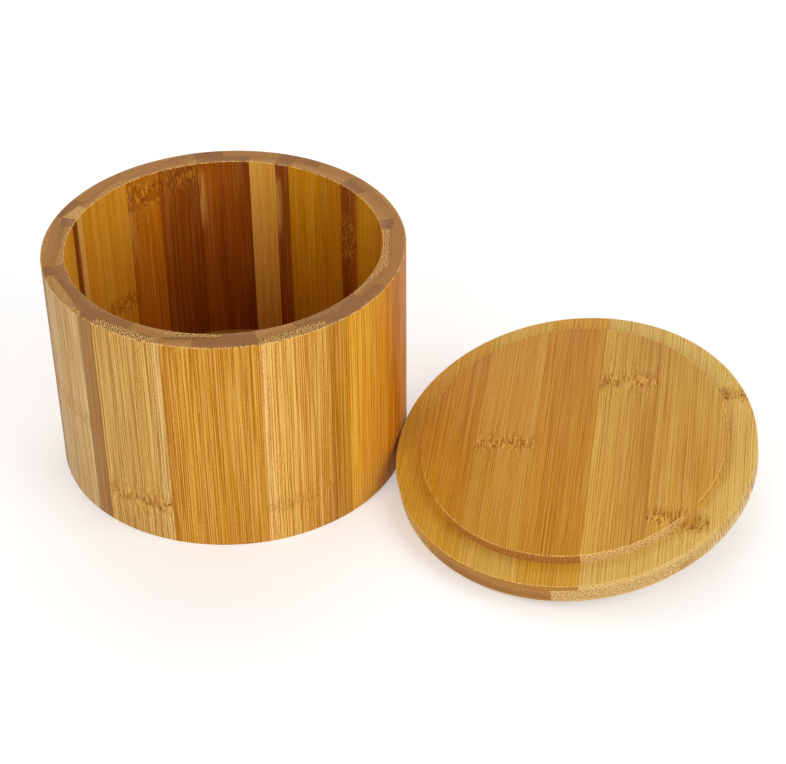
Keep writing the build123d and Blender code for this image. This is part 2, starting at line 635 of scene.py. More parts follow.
class EndTone(Enum):
    """The colours of the ends of strips, on a paint card: the ground's, then the fibre dots'."""

    CREAM = ((190, 140, 74), (242, 210, 144))
    BISCUIT = ((118, 74, 30), (240, 192, 112))
    TOFFEE = ((154, 96, 34), (200, 142, 68))
    BUFF = ((150, 102, 50), (214, 164, 94))
    BROWN = ((164, 112, 56), (198, 150, 88))
    MAUVE = ((142, 95, 52), (176, 128, 80))


@dataclass(frozen=True)
class Bed:
    """Where a strip lies.

    Attributes:
        axes: from the middle of the strip: X across it to the left, seen from its outer or upper side,
            Y through it to that side, and Z along its fibres.
        width: how wide it is.
        thickness: how thick it is.
    """

    axes: Matrix
    width: float
    thickness: float


@dataclass(frozen=True)
class Bamboo:
    """The finish of one strip of bamboo.

    Attributes:
        tone: the strip's colour.
        end: the colours of its ends.
        dense: the share of its thickness that is crowded with fibre dots, on its outer or upper side, or
            on the other side if it is negative.
        streak: how strongly its streaks show.
        slope: how much darker it gets towards its left, seen from that side, from -1 to 1.
        pale_edge: how broad a pale band runs along its left edge, or along its right edge if negative.
        painted_sheen: between which places along it a pale painted highlight runs at its right edge.
        dotting: how strongly the fibre dots show on its ends.
        node: where a node of the culm crosses it, in metres along the fibres from the strip's origin.
        node_spread: how broad that node is, for its kind.
        node_strength: how strongly it shows.
    """

    tone: Tone = Tone.GOLD
    end: EndTone = EndTone.BROWN
    dense: float = 0.5
    streak: float = 1.0
    slope: float = 0.0
    pale_edge: float = 0.0
    painted_sheen: tuple[float, float] = (FAR_OFF, FAR_OFF)
    dotting: float = 0.8
    node: float = FAR_OFF
    node_spread: float = 1.0
    node_strength: float = 1.0

    def material(self, name: str, bed: Bed, seed: int) -> bpy.types.Material:
        """Make the material of one strip.

        Args:
            name: the material's name.
            bed: where the strip lies.
            seed: picks the stretch of the culm that the strip was cut from.

        Returns:
            The material.
        """
        material = bpy.data.materials.new(name)
        sheet = Sheet.blank(material)
        coordinates = sheet.add("ShaderNodeTexCoord")
        inputs = {
            "Vector": coordinates["Object"],
            "Location": bed.axes.translation,
            "Rotation": bed.axes.to_euler(),
            "Scale": (MM, MM, MM),
        }
        in_strip = sheet.add("ShaderNodeMapping", inputs, vector_type="TEXTURE")
        fibres = bed.axes.col[2].to_3d()
        facing = abs(sheet.vector("DOT_PRODUCT", coordinates["Normal"], fibres)["Value"])
        pale, deep, end_ground, end_dots = (linear(*card) for card in self.tone.value + self.end.value)
        inputs = {
            "Place": in_strip,
            "Culm": (seed * 37.3 % 211, seed * 17.9 % 97, seed * 53.1 % 307),
            "End": sheet.step(facing, 0.55, 0.8),
            "Arris": sheet.add("ShaderNodeAttribute", attribute_name=ARRIS)["Fac"],
            "Pale": pale,
            "Deep": deep,
            "Line": tuple(channel * share for channel, share in zip(deep, LINE_SHARES)),
            "End ground": end_ground,
            "End dots": end_dots,
            "Streak": self.streak,
            "Slope": self.slope,
            "Half width": bed.width / 2 / MM,
            "Pale edge": self.pale_edge / MM,
            "Painted sheen from": self.painted_sheen[0] / MM,
            "Painted sheen to": self.painted_sheen[1] / MM,
            "Dotting": self.dotting,
            "Bark way": 1.0 if self.dense > 0 else -1.0,
            "Half thickness": bed.thickness / 2 / MM,
            "Dense depth": bed.thickness * abs(self.dense) / MM,
            "Node at": self.node / MM,
            "Node spread": self.node_spread,
            "Node strength": self.node_strength,
        }
        grain = sheet.add("ShaderNodeGroup", inputs, node_tree=GRAIN)
        relief = {"Height": grain["Height"], "Strength": 0.35, "Distance": 0.05 * MM}
        inputs = {
            "Base Color": grain["Colour"],
            "Roughness": grain["Roughness"],
            "Normal": sheet.add("ShaderNodeBump", relief),
            "IOR": 1.48,
            "Specular IOR Level": 0.14,
        }
        shader = sheet.add("ShaderNodeBsdfPrincipled", inputs)
        sheet.add("ShaderNodeOutputMaterial", {"Surface": shader})
        return material


@dataclass
class Strip:
    """One strip: its piece, the node that it stands for, the body that it belongs to, and a slot, which is
    not used.
    """

    piece: Object
    node: str
    body: str
    slot: str

    def finish(self, bamboo: Bamboo, bed: Bed, seed: int) -> None:
        """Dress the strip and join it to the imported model.

        Args:
            bamboo: how it is dressed.
            bed: where it lies.
            seed: picks the stretch of the culm that it was cut from.
        """
        self.piece.data.materials.clear()
        self.piece.data.materials.append(bamboo.material(self.piece.name, bed, seed))
        smooth(self.piece)
        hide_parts(self.node)
        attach(self.piece, self.body)


# ---- the box

STANDING = Matrix(((0, 1, 0, 0), (-1, 0, 0, 0), (0, 0, 1, 0), (0, 0, 0, 1)))  # a strip's axes on +X


@dataclass
class StaveRing:
    """The wall of the box: staves round the axis, each with an outer and an inner layer of two strips.

    Where the glue line runs between the two strips of a layer is told stave by stave, as a share of half
    the stave's width: 0 is the middle, 1 the joint on the anticlockwise side.
    """

    radius: float = 62.0 * MM
    height: float = 82.5 * MM
    wall: float = 8.0 * MM
    outer_share: float = 0.56  # of the wall, taken by the outer layer at the middle of a stave
    edge_break: float = 0.4 * MM  # taken off the sharp edges of the rim and the foot
    floor_thickness: float = 8.0 * MM
    floor_lip: float = 2.0 * MM  # how far the rebate for the floor cuts outside the bore
    eased: float = 0.07 * MM  # taken off the sawn edges of each strip
    torn: float = 0.10 * MM  # how far the fibre tips are torn about along the rim's outer edge
    worn: float = 0.075 * MM  # how far they are worn down
    steps: int = 72
    outer_glue_lines: tuple[float, ...] = (
        -0.25, -0.40, -0.03, 0.34, -0.22, 0.25, -0.06, -0.62, -0.60, -0.34, 0.50, 0.28,
    )
    inner_glue_lines: tuple[float, ...] = (
        0.60, 0.36, 0.64, -0.32, 0.07, 0.46, -0.68, -0.07, 0.21, 0.29, -0.11, -0.33,
    )
    outer_looks: tuple[tuple[Bamboo, Bamboo], ...] = (
        (Bamboo(Tone.RUSSET, EndTone.BROWN, 0.3), Bamboo(Tone.AMBER, EndTone.BROWN, 0.2)),
        (Bamboo(Tone.GOLD, EndTone.BROWN, 0.5), Bamboo(Tone.HONEY, EndTone.BUFF, 0.4)),
        (Bamboo(Tone.HONEY, EndTone.BROWN, 0.2), Bamboo(Tone.AMBER, EndTone.MAUVE, 0.2)),
        (Bamboo(Tone.GOLD, EndTone.BROWN, 0.3), Bamboo(Tone.MAUVE, EndTone.MAUVE, 0.2)),
        (Bamboo(Tone.STRAW, EndTone.BUFF, 0.5), Bamboo(Tone.HONEY, EndTone.BROWN, 0.3)),
        (Bamboo(Tone.GOLD, EndTone.BROWN, 0.4), Bamboo(Tone.OLIVE, EndTone.MAUVE, 0.3)),
        # stave_07 and stave_08, on the left: pale greyish tones, partly their own, partly a painted sheen
        (Bamboo(Tone.TAN, EndTone.BROWN, 0.4), Bamboo(Tone.TAN, EndTone.BROWN, 0.5)),
        (
            Bamboo(Tone.MAUVE, EndTone.MAUVE, 0.2, dotting=0.2),
            Bamboo(Tone.TAN, EndTone.BISCUIT, 0.9, node=39 * MM, node_strength=0.5),
        ),
        (
            Bamboo(Tone.MAUVE, EndTone.MAUVE, 0.6, streak=0.5, dotting=0.4),
            Bamboo(Tone.HONEY, EndTone.BISCUIT, 0.9, streak=1.2, pale_edge=-2.6 * MM, node=15 * MM),
        ),
        (
            Bamboo(Tone.GOLD, EndTone.BROWN, 0.6, streak=1.2, slope=1.6),
            Bamboo(Tone.GOLD, EndTone.MAUVE, 0.35, streak=1.15, slope=-0.4),
        ),
        (
            Bamboo(
                Tone.APRICOT, EndTone.BISCUIT, 0.9, streak=1.3, slope=-0.8, pale_edge=3.2 * MM,
                node=15 * MM, node_strength=0.35,
            ),
            Bamboo(Tone.CARAMEL, EndTone.MAUVE, 0.4, slope=0.8),
        ),
        (
            Bamboo(Tone.MARIGOLD, EndTone.MAUVE, 0.4, streak=0.85, slope=-0.4),
            Bamboo(Tone.RUSSET, EndTone.BROWN, 0.2, slope=-1.4),
        ),
    )
    inner_looks: tuple[tuple[Bamboo, Bamboo], ...] = (
        (
            Bamboo(Tone.GOLD, EndTone.BUFF, -0.65, dotting=1.0),
            Bamboo(Tone.RUSSET, EndTone.MAUVE, -0.2, slope=-2.0),
        ),
        (
            Bamboo(Tone.OLIVE, EndTone.BROWN, -0.5, streak=0.5),
            Bamboo(
                Tone.UMBER, EndTone.MAUVE, -0.2, streak=0.5,
                node=61 * MM, node_spread=2.4, node_strength=1.3,
            ),
        ),
        (
            Bamboo(Tone.OLIVE, EndTone.BROWN, -0.6, streak=0.5, slope=0.3),
            Bamboo(Tone.UMBER, EndTone.MAUVE, -0.2, streak=0.5, painted_sheen=(52 * MM, 76 * MM)),
        ),
        (
            Bamboo(Tone.APRICOT, EndTone.BUFF, -0.4, streak=0.5),
            Bamboo(Tone.UMBER, EndTone.MAUVE, -0.3, streak=0.5, slope=0.8, painted_sheen=(56 * MM, 79 * MM)),
        ),
        (
            Bamboo(Tone.UMBER, EndTone.BROWN, -0.4, streak=0.5, node=78 * MM, node_spread=1.3),
            Bamboo(
                Tone.RUSSET, EndTone.BROWN, -0.2, streak=0.5, painted_sheen=(50 * MM, 78 * MM),
                node=75 * MM, node_spread=1.8, node_strength=1.4,
            ),
        ),
        (
            Bamboo(
                Tone.MARIGOLD, EndTone.BUFF, -0.5, streak=0.4, slope=-0.2,
                node=33 * MM, node_strength=1.4,
            ),
            Bamboo(
                Tone.AMBER, EndTone.CREAM, -0.9, streak=0.4, dotting=0.3, pale_edge=-3.5 * MM,
                painted_sheen=(42 * MM, 74 * MM),
            ),
        ),
        (Bamboo(Tone.UMBER, EndTone.MAUVE, -0.3), Bamboo(Tone.MARIGOLD, EndTone.BUFF, -0.4, streak=0.6)),
        (Bamboo(Tone.GOLD, EndTone.MAUVE, -0.6), Bamboo(Tone.HONEY, EndTone.MAUVE, -0.2)),
        (Bamboo(Tone.AMBER, EndTone.MAUVE, -0.2), Bamboo(Tone.GOLD, EndTone.BROWN, -0.2)),
        (Bamboo(Tone.GOLD, EndTone.BISCUIT, -0.55), Bamboo(Tone.UMBER, EndTone.MAUVE, -0.2)),
        (Bamboo(Tone.HONEY, EndTone.BROWN, -0.5), Bamboo(Tone.GOLD, EndTone.MAUVE, -0.5)),
        (Bamboo(Tone.AMBER, EndTone.MAUVE, -0.2), Bamboo(Tone.GOLD, EndTone.BUFF, -0.45, dotting=1.0)),
    )

    @property
    def bore(self) -> float:
        """The radius inside the wall."""
        return self.radius - self.wall

    @property
    def glue_plane(self) -> float:
        """How far the flat joint between the two layers lies from the axis."""
        return self.radius - self.outer_share * self.wall

    @property
    def stave_angle(self) -> float:
        """The angle that one stave takes."""
        return 2 * pi / len(self.outer_glue_lines)

    def build(self) -> int:
        """Cut, dress and place every strip of the wall.

        Returns:
            How many strips there are.
        """
        blank = self._blank()
        count = 0
        for layer, outwards, face_radius, glue_lines, looks in (
            ("outer", 1, self.radius, self.outer_glue_lines, self.outer_looks),
            ("inner", -1, self.bore, self.inner_glue_lines, self.inner_looks),
        ):
            layer_blank = copied(blank, f"{layer}_blank")
            with editing(layer_blank):
                cut((self.glue_plane, 0, 0), (outwards, 0, 0))
            half_width = face_radius * sin(self.stave_angle / 2)
            thickness = abs(face_radius - self.glue_plane)
            middle_radius = (face_radius + self.glue_plane) / 2
            for number, (glue_line, pair) in enumerate(zip(glue_lines, looks)):
                place = Matrix.Rotation(self.stave_angle * number, 4, "Z")
                node = f"stave_{number + 1:02d}_{layer}"
                glued_at = glue_line * half_width
                for piece, side, bamboo in zip((1, 2), (-1, 1), pair):
                    count += 1
                    strip = copied(layer_blank, f"{node}_strip_{piece}")
                    with editing(strip):
                        cut((0, glued_at, 0), (0, side, 0))
                    ease_edges(strip, self.eased)
                    self._tear_rim(strip, count)
                    placed(strip, place)
                    joint = side * half_width
                    middle = Matrix.Translation((middle_radius, (glued_at + joint) / 2, 0))
                    bed = Bed(place @ middle @ STANDING, abs(joint - glued_at), thickness)
                    Strip(strip, node, "box", f"bamboo_{layer}_layer").finish(bamboo, bed, count)
            discard(layer_blank)
        discard(blank)
        return count

    def _blank(self) -> Object:
        """Turn one whole stave, centred on +X: the wall's section, swung about the axis.

        Returns:
            The stave.
        """
        middle = (self.radius - self.wall / 2, 0, self.height / 2)
        blank = primitive(bpy.ops.mesh.primitive_plane_add, size=1, location=middle, rotation=(pi / 2, 0, 0))
        blank.scale = (self.wall, self.height, 1)
        settle(blank)
        ledge = (self.bore + self.floor_lip, 0, self.floor_thickness)
        with editing(blank):
            for normal in ((1, 0, 0), (0, 0, 1)):
                select_all()
                bpy.ops.mesh.bisect(plane_co=ledge, plane_no=normal)
            select_where("FACE", lambda face: self._in_rebate(face.calc_center_median()))
            bpy.ops.mesh.delete(type="FACE")
            select_all()
            bpy.ops.mesh.dissolve_faces()
            select_where("VERT", self._sharp_corner)
            bpy.ops.mesh.bevel(offset=self.edge_break, segments=4, affect="VERTICES")
            turn_outline(self.steps, self.stave_angle)
        placed(blank, Matrix.Rotation(self.stave_angle / 2, 4, "Z"))
        mark_arris(blank, self._on_arris)
        return blank

    def _in_rebate(self, point: Vector) -> bool:
        """Whether a point of the section lies in the rebate that the floor is let into."""
        return point.x < self.bore + self.floor_lip and point.z < self.floor_thickness

    def _sharp_corner(self, vertex: bmesh.types.BMVert) -> bool:
        """Whether a corner of the section is broken: both at the rim, and the outer one at the foot."""
        outer, inner = (abs(vertex.co.x - face) < SPECK for face in (self.radius, self.bore))
        return (vertex.co.z > self.height - SPECK and (outer or inner)) or (vertex.co.z < SPECK and outer)

    def _on_arris(self, point: Vector) -> bool:
        """Whether a point lies on one of the rim's or the foot's broken edges.

        Args:
            point: a point of the stave.

        Returns:
            Whether it does.
        """
        reach = hypot(*point.xy)
        inside_faces = self.bore + SPECK < reach < self.radius - SPECK
        in_band = reach < self.bore + self.edge_break - SPECK or reach > self.radius - self.edge_break + SPECK
        near_rim = self.height - self.edge_break < point.z < self.height - SPECK
        near_foot = SPECK < point.z < self.edge_break
        return inside_faces and in_band and (near_rim or near_foot)

    def _tear_rim(self, strip: Object, seed: int) -> None:
        """Tear the fibre tips a little along the rim's outer edge, as turning across them does.

        Args:
            strip: the strip, before it is put in its place.
            seed: picks how they are torn.
        """
        reach, height = (size - self.edge_break + SPECK for size in (self.radius, self.height))
        with editing(strip):
            if select_where("VERT", lambda vertex: hypot(*vertex.co.xy) > reach and vertex.co.z > height):
                bpy.ops.transform.vertex_random(offset=self.torn, uniform=0.0, normal=0.0, seed=seed)
                bpy.ops.transform.translate(value=(0, 0, -self.worn))


# ---- round boards: the floor and the lid

LYING = Matrix(((-1, 0, 0, 0), (0, 0, 1, 0), (0, 1, 0, 0), (0, 0, 0, 1)))  # a strip's axes along +Y


def lying_bed(sides: tuple[float, float], heights: tuple[float, float], place: Matrix) -> Bed:
    """Where a strip of a board lies.

    Args:
        sides: where its left and right edges are, across the board.
        heights: where its underside and its top are.
        place: where the board is put.

    Returns:
        The strip's bed.
    """
    (left, right), (low, high) = sides, heights
    middle = Matrix.Translation(((left + right) / 2, 0, (low + high) / 2))
    return Bed(place @ middle @ LYING, right - left, high - low)


@dataclass(frozen=True)
class Board:
    """A round board of glued strips that run along Y.

    Attributes:
        name: what the names of its strips start with.
        radius: how far it reaches from its axis.
        heights: where its underside and its top are.
        edge_shares: how wide its left and right edge strips are, as shares of a whole one.
        eased: what is taken off the sawn edges of each strip.
        looks: how the strips are dressed, from left to right.
        body: the body that they belong to.
        slot: the slot that they belong to.
        seed: of the first strip. The others follow.
        strip_width: a board has as many whole strips as come nearest to this.
    """

    name: str
    radius: float
    heights: tuple[float, float]
    edge_shares: tuple[float, float]
    eased: float
    looks: tuple[Bamboo, ...]
    body: str
    slot: str
    seed: int
    strip_width: float = 20.4 * MM

    def build(self, blank: Object, on_arris: Callable[[Vector], bool], place: Matrix) -> int:
        """Cut the board into its strips, dress them and put them in their place. The blank is used up.

        Args:
            blank: the board in one piece.
            on_arris: takes a point of the board and says whether it lies on a broken edge.
            place: where the board is put.

        Returns:
            How many strips there are.
        """
        lines = self._lines()
        names = ("left_strip", *(f"strip_{number}" for number in range(1, len(lines) - 2)), "right_strip")
        for seed, (name, bamboo, *sides) in enumerate(zip(names, self.looks, lines, lines[1:]), self.seed):
            low, high = sides
            node = f"{self.name}_{name}"
            strip = copied(blank, f"{node}_piece")
            with editing(strip):
                if low > lines[0]:
                    cut((low, 0, 0), (1, 0, 0))
                if high < lines[-1]:
                    cut((high, 0, 0), (-1, 0, 0))
            ease_edges(strip, self.eased)
            mark_arris(strip, on_arris)
            placed(strip, place)
            bed = lying_bed(sides, self.heights, place)
            Strip(strip, node, self.body, self.slot).finish(bamboo, bed, seed)
        discard(blank)
        return len(names)

    def _lines(self) -> list[float]:
        """Find the glue lines.

        Returns:
            Where they lie across the board, with its own two edges first and last.
        """
        whole = round(2 * self.radius / self.strip_width - sum(self.edge_shares))
        width = 2 * self.radius / (whole + sum(self.edge_shares))
        first = self.edge_shares[0] * width - self.radius
        return [-self.radius, *(first + width * number for number in range(whole + 1)), self.radius]


@dataclass
class Floor:
    """The floor of the box: a round board of strips let into the foot of the wall."""

    radius: float = 55.9 * MM
    thickness: float = 8.0 * MM
    edge_shares: tuple[float, float] = (0.94, 0.54)
    eased: float = 0.07 * MM
    sides: int = 160
    seed: int = 101
    looks: tuple[Bamboo, ...] = (
        Bamboo(Tone.HONEY, streak=0.6),
        Bamboo(Tone.OLIVE, streak=0.6),
        Bamboo(Tone.GOLD, streak=0.6, node=20 * MM),
        Bamboo(Tone.OLIVE, streak=0.6),
        Bamboo(Tone.HONEY, streak=0.6),
        Bamboo(Tone.GOLD, streak=0.6),
    )

    def build(self) -> int:
        """Make the board, cut it into strips and dress them.

        Returns:
            How many strips there are.
        """
        heights = (0, self.thickness)
        blank = disc(self.radius, heights, self.sides)
        strips = (self.edge_shares, self.eased, self.looks)
        board = Board("floor", self.radius, heights, *strips, "box", "bamboo_floor", self.seed)
        return board.build(blank, nowhere, Matrix())


@dataclass
class Knob:
    """The knob, turned in one piece with its tenon. It hangs below the lid's cover layer."""

    dome_radius: float = 14.0 * MM
    dome_angle: float = radians(40)
    shoulder_radius: float = 4.0 * MM
    shoulder_return: float = radians(60)  # how far the shoulder turns in below the knob's widest line
    cove_radius: float = 2.0 * MM
    neck_length: float = 1.9 * MM
    tenon_radius: float = 5.0 * MM
    tenon_length: float = 4.5 * MM
    tenon_gap: float = 0.05 * MM
    sides: int = 128
    seed: int = 301
    look: Bamboo = Bamboo(Tone.GOLD, EndTone.BUFF, 0.6)

    @property
    def height(self) -> float:
        """Add up the knob's profile.

        Returns:
            How far it stands out from the lid.
        """
        dome = self.dome_radius * (1 - cos(self.dome_angle))
        shoulder = self.shoulder_radius * (cos(self.dome_angle) + sin(self.shoulder_return))
        return dome + shoulder + self.cove_radius * sin(self.shoulder_return) + self.neck_length

    def build(self, flange: float, place: Matrix) -> None:
        """Turn the knob under the lid's flange.

        Args:
            flange: the flange's thickness.
            place: where the lid lies.
        """
        heights = (-flange - self.height, -flange)
        knob = primitive(bpy.ops.mesh.primitive_plane_add, size=self.tenon_radius)
        knob.name = knob.data.name = "lid_knob_piece"
        with editing(knob):
            self._draw_outline(*heights)
            turn_outline(self.sides, 2 * pi)
        mark_arris(knob, nowhere)
        placed(knob, place)
        bed = lying_bed((-self.dome_radius, self.dome_radius), heights, place)
        Strip(knob, "lid_knob", "lid", "bamboo_knob").finish(self.look, bed, self.seed)

    def _draw_outline(self, tip: float, root: float) -> None:
        """In edit mode, draw half of the knob in section with one point, from its tip to its tenon's end.

        Args:
            tip: the height of its tip.
            root: the height of the lid's face.
        """
        bpy.ops.mesh.merge(type="CENTER")
        bpy.ops.transform.translate(value=(0, 0, tip))
        end = self._arc(Vector((0, 0, tip + self.dome_radius)), self.dome_angle, 10)
        aim = Vector((sin(self.dome_angle), 0, -cos(self.dome_angle)))
        sweep = pi / 2 - self.dome_angle + self.shoulder_return
        end = self._arc(end - aim * self.shoulder_radius, sweep, 16)
        aim = Vector((cos(self.shoulder_return), 0, sin(self.shoulder_return)))
        end = self._arc(end + aim * self.cove_radius, -self.shoulder_return, 8)
        tenon_end = root + self.tenon_length
        tenon = ((self.tenon_radius, root), (self.tenon_radius, tenon_end), (0, tenon_end))
        for x, z in ((end.x, root), *tenon):
            step = Vector((x, 0, z)) - end
            bpy.ops.mesh.extrude_region_move(TRANSFORM_OT_translate={"value": step})
            end += step

    @staticmethod
    def _arc(centre: Vector, angle: float, steps: int) -> Vector:
        """Swing the selected point about a centre, in the XZ plane, leaving an arc behind it.

        Args:
            centre: the arc's centre.
            angle: how far to swing, towards +X at the bottom of the circle.
            steps: how many pieces the arc has.

        Returns:
            Where the point ends, still selected.
        """
        bpy.ops.mesh.spin(steps=steps, angle=angle, center=centre, axis=(0, 1, 0))
        mesh = bmesh.from_edit_mesh(bpy.context.object.data)
        return next(vertex.co.copy() for vertex in mesh.verts if vertex.select)


@dataclass
class Lid:
    """The lid, upside down beside the box: a stepped plug layer on a cover layer, and a turned knob.

    Its own heights start at the step that sits on the rim, and its plug is above.
    """

    box_radius: float = 62.0 * MM
    bore: float = 54.0 * MM
    overhang: float = 0.3 * MM  # past the box, all round
    plug_height: float = 4.0 * MM
    plug_clearance: float = 1.2 * MM  # between the plug and the bore
    bevel: float = 0.8 * MM  # along the edge of the top face
    edge_break: float = 0.4 * MM  # along the edges of the step and of the plug
    strip_thickness: float = 6.0 * MM
    plug_edge_shares: tuple[float, float] = (0.41, 0.70)
    cover_edge_shares: tuple[float, float] = (0.95, 0.16)
    eased: float = 0.06 * MM
    sides: int = 256
    drill_sides: int = 48
    gap: float = 0.4 * MM  # to the box's wall
    bearing: float = radians(-15.2)  # from the box's axis to the lid's centre
    lean_bearing: float = radians(223.7)  # the way the lid's low edge points
    grain_bearing: float = radians(80.8)  # the way its grain runs, before it leans
    knob: Knob = field(default_factory=Knob)
    seed: int = 201
    plug_looks: tuple[Bamboo, ...] = (
        Bamboo(Tone.CARAMEL, EndTone.TOFFEE, 0.95, streak=0.6),
        Bamboo(Tone.CARAMEL, EndTone.TOFFEE, 0.95, streak=0.6),
        Bamboo(Tone.WHEAT, EndTone.TOFFEE, 0.95, streak=0.6, node=-3.5 * MM),
        Bamboo(Tone.CARAMEL, EndTone.TOFFEE, 0.95, streak=0.65),
        Bamboo(Tone.FLAX, EndTone.CREAM, 0.95, streak=0.65, slope=-1.0, node=26 * MM),
        Bamboo(Tone.FLAX, EndTone.CREAM, 0.95, streak=0.6, node=-35.6 * MM),
        Bamboo(Tone.FLAX, EndTone.CREAM, 0.95, streak=0.6, node=23 * MM),
    )
    cover_looks: tuple[Bamboo, ...] = (
        Bamboo(Tone.FLAX, EndTone.BROWN, 0.3),
        Bamboo(Tone.WHEAT, EndTone.BROWN, 0.3),
        Bamboo(Tone.AMBER, EndTone.BROWN, 0.4, node=18 * MM),
        Bamboo(Tone.OAT, EndTone.CREAM, 0.95),
        Bamboo(Tone.OAT, EndTone.CREAM, 0.95),
        Bamboo(Tone.STRAW, EndTone.CREAM, 0.4),
        Bamboo(Tone.STRAW, EndTone.CREAM, 0.4),
    )

    @property
    def radius(self) -> float:
        """The radius of the flange."""
        return self.box_radius + self.overhang

    @property
    def plug_radius(self) -> float:
        """The radius of the plug."""
        return self.bore - self.plug_clearance

    @property
    def flange(self) -> float:
        """How thick the flange is."""
        return 2 * self.strip_thickness - self.plug_height

    @property
    def place(self) -> Matrix:
        """Lay the lid down beside the wall, propped on its knob and on the edge of its top face.

        Returns:
            Its place there.
        """
        resting = self.radius - self.bevel
        dome_centre = self.knob.height - self.knob.dome_radius
        lean = asin(self.knob.dome_radius / hypot(resting, dome_centre)) + atan2(dome_centre, resting)
        turn = self.bearing + pi - self.lean_bearing
        distance = self.box_radius + self.gap + self.radius * hypot(sin(turn), cos(lean) * cos(turn))
        height = resting * sin(lean) + self.flange * cos(lean)
        centre = Vector((distance * cos(self.bearing), distance * sin(self.bearing), height))
        about = Matrix.Rotation(self.lean_bearing, 4, "Z")
        leaning = about @ Matrix.Rotation(lean, 4, "Y") @ about.inverted()
        return Matrix.Translation(centre) @ leaning @ Matrix.Rotation(self.grain_bearing - pi / 2, 4, "Z")

    def build(self) -> int:
        """Turn the lid, cut it into layers and strips, dress them, and lay it beside the box.

        Returns:
            How many strips there are, without the knob.
        """
        blank = self._blank()
        plane = self.plug_height - self.strip_thickness
        count = 0
        for layer, upwards, heights, shares, looks in (
            ("plug", 1, (plane, self.plug_height), self.plug_edge_shares, self.plug_looks),
            ("cover", -1, (-self.flange, plane), self.cover_edge_shares, self.cover_looks),
        ):
            layer_blank = copied(blank, f"{layer}_blank")
            with editing(layer_blank):
                cut((0, 0, plane), (0, 0, upwards))
            if layer == "cover":
                self._drill(layer_blank)
            slot = f"bamboo_{layer}_layer"
            strips = (shares, self.eased, looks)
            board = Board(f"lid_{layer}", self.radius, heights, *strips, "lid", slot, self.seed + count)
            count += board.build(layer_blank, self._on_arris, self.place)
        discard(blank)
        self.knob.build(self.flange, self.place)
        return count

    def _blank(self) -> Object:
        """Turn the lid in one piece: a disc whose plug is raised from its inset top face.

        Returns:
            The lid in one piece.
        """
        blank = disc(self.radius, (-self.flange, 0), self.sides)
        with editing(blank):
            select_where("FACE", lambda face: face.normal.z > 0.9)
            bpy.ops.mesh.inset(thickness=self.radius - self.plug_radius)
            bpy.ops.mesh.extrude_region_move(TRANSFORM_OT_translate={"value": (0, 0, self.plug_height)})
            top, step = (self.radius, -self.flange), (self.radius, 0)
            plug = (self.plug_radius, self.plug_height)
            select_where("EDGE", lambda edge: self._on_ring(edge, *top))
            bpy.ops.mesh.bevel(offset=self.bevel, segments=4, affect="EDGES")
            select_where("EDGE", lambda edge: self._on_ring(edge, *step) or self._on_ring(edge, *plug))
            bpy.ops.mesh.bevel(offset=self.edge_break, segments=3, affect="EDGES")
        return blank

    @staticmethod
    def _on_ring(edge: bmesh.types.BMEdge, radius: float, height: float) -> bool:
        """Whether both ends of an edge lie on the ring of a radius at a height."""
        ends = [(hypot(*vertex.co.xy), vertex.co.z) for vertex in edge.verts]
        return all(hypot(reach - radius, z - height) < SPECK for reach, z in ends)

    def _on_arris(self, point: Vector) -> bool:
        """Whether a point lies on one of the lid's broken edges.

        Args:
            point: a point of the lid, before it is put in its place.

        Returns:
            Whether it does.
        """
        reach = hypot(*point.xy)
        step_edge = self.radius - self.edge_break < reach < self.radius - SPECK
        step_edge = step_edge and -self.edge_break < point.z < -SPECK
        plug_edge = self.plug_radius - self.edge_break < reach < self.plug_radius - SPECK
        plug_edge = plug_edge and self.plug_height - self.edge_break < point.z < self.plug_height - SPECK
        # painted highlight: marking the top face's bevel draws a pale line along the lid's lower edge
        top_edge = reach > self.radius - self.bevel and point.z < self.bevel - SPECK - self.flange
        return step_edge or plug_edge or top_edge

    def _drill(self, cover: Object) -> None:
        """Drill the blind hole for the knob's tenon into the cover layer.

        Args:
            cover: the cover layer.
        """
        radius = self.knob.tenon_radius + self.knob.tenon_gap
        depth = self.knob.tenon_length + self.knob.tenon_gap
        drill = disc(radius, (-self.flange - depth, -self.flange + depth), self.drill_sides)
        pick(cover)
        hole = cover.modifiers.new("tenon hole", "BOOLEAN")
        hole.operation = "DIFFERENCE"
        hole.solver = "EXACT"
        hole.object = drill
        bpy.ops.object.modifier_apply(modifier=hole.name)
        discard(drill)


# ---- the studio


@dataclass(frozen=True)
class Lamp:
    """A soft square lamp that looks at the object.

    Attributes:
        name: the lamp's name.
        place: where it hangs.
        size: the length of its side.
        power: its strength in watts.
        aim: the point that it looks at.
    """

    name: str
    place: Point
    size: float
    power: float
    aim: Point = (0.05, 0, 0.04)

    def hang(self) -> None:
        """Hang the lamp in the scene."""
        data = bpy.data.lights.new(self.name, "AREA")
        data.size = self.size
        data.energy = self.power
        lamp = bpy.data.objects.new(self.name, data)
        lamp.location = self.place
        lamp.rotation_euler = (Vector(self.aim) - Vector(self.place)).to_track_quat("-Z", "Y").to_euler()
        bpy.context.scene.collection.objects.link(lamp)


